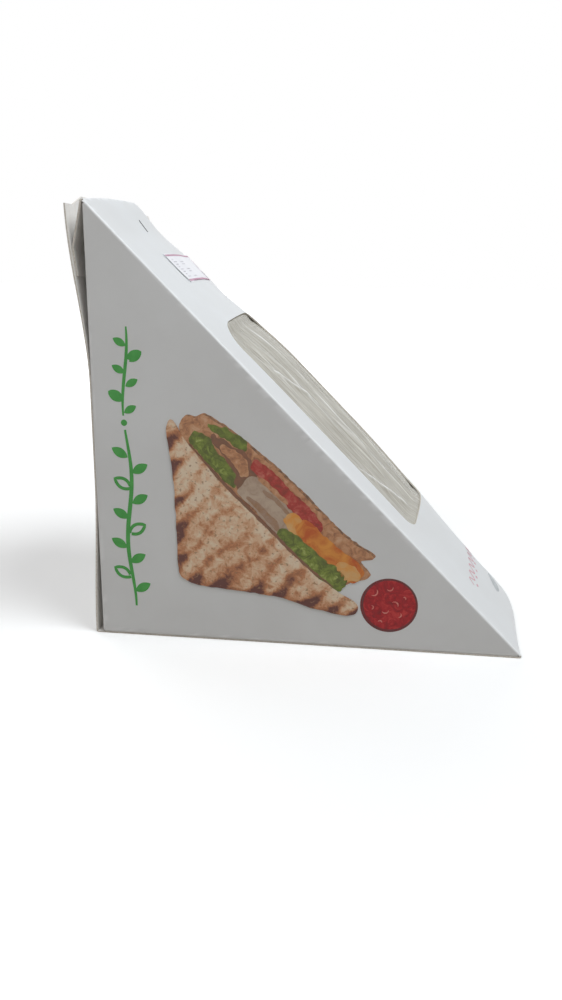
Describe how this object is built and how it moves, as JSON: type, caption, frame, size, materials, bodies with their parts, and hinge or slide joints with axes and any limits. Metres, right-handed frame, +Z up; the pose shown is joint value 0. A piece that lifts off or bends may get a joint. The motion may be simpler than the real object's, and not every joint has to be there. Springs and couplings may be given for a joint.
{
  "type": "sandwich wedge carton",
  "caption": "Triangular folding carton for a cut sandwich, with a film window in its slanted front and a price label.",
  "frame": {"origin": "middle of the underside of the whole pack's box, on the base panel's outer face", "axes": "+X along the base from the back panel to the front tip, +Y across the width away from the printed side, +Z up"},
  "size_m": [0.1298, 0.062, 0.1252],
  "materials": {
    "board": "coated white",
    "film": "clear wrinkled film",
    "label_paper": "semi-gloss"
  },
  "bodies": {
    "root": {"carton": "board", "window_film": "film", "price_label": "label_paper"}
  },
  "joints": []
}
